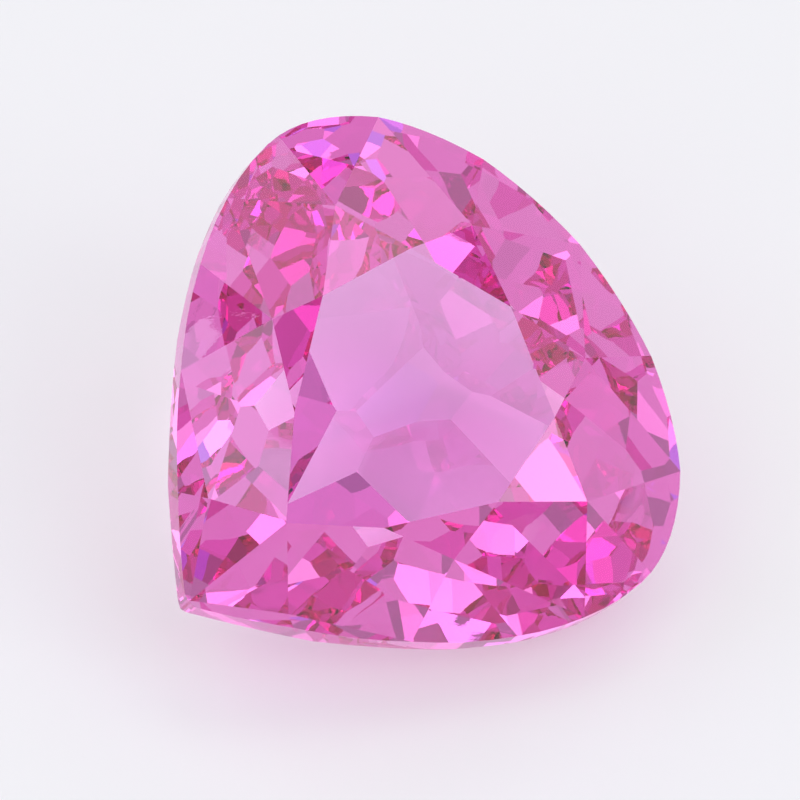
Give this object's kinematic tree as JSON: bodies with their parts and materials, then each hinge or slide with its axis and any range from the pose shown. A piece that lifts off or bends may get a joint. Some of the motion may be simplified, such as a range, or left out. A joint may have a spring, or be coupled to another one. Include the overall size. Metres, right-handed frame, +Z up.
{
  "type": "cut pear-shaped pink sapphire",
  "caption": "Loose cut gemstone: a broad pear outline, nearly as wide as long, with a large table, brilliant-style crown, thin girdle and stepped pavilion, in clear cool pink.",
  "frame": {"origin": "bottom centre of the stone's box as it lies: the level of the facet it rests on, under the middle of the box", "axes": "+Z up, away from the surface it lies on; the table faces up and towards -Y; the tip points towards -X and -Y"},
  "size_m": [0.0064, 0.0062, 0.0045],
  "materials": {
    "sapphire": "polished"
  },
  "bodies": {
    "root": {"sapphire": "sapphire"}
  },
  "joints": []
}
